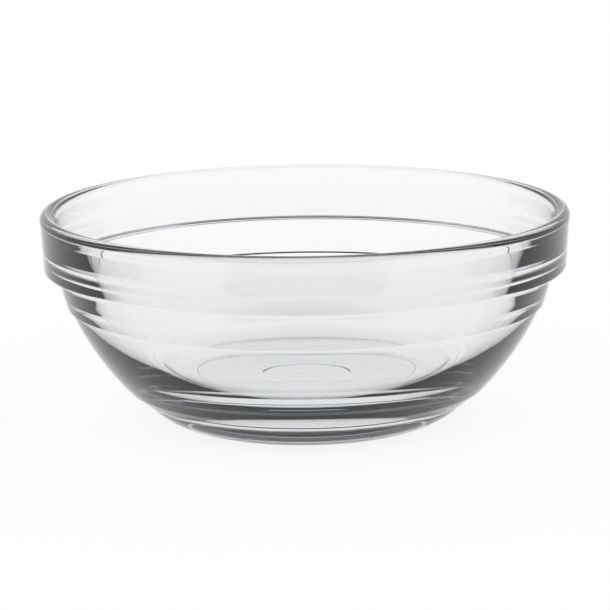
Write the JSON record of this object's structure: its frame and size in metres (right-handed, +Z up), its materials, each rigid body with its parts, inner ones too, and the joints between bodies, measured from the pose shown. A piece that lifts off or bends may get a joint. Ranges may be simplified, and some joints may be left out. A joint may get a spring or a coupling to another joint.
{
  "type": "stacking bowl",
  "caption": "Round clear glass bowl with a rounded lip, a stacking band whose ledge sits on the rim of the bowl below, a curved wall and a foot ring.",
  "frame": {"origin": "middle of the foot ring, on the plane the bowl stands on", "axes": "+Z up along the axis the bowl is turned about, X and Y level"},
  "size_m": [0.14, 0.14, 0.0564],
  "materials": {
    "clear_glass": "clear, fire-polished"
  },
  "bodies": {
    "root": {"glass_bowl": "clear_glass"}
  },
  "joints": []
}
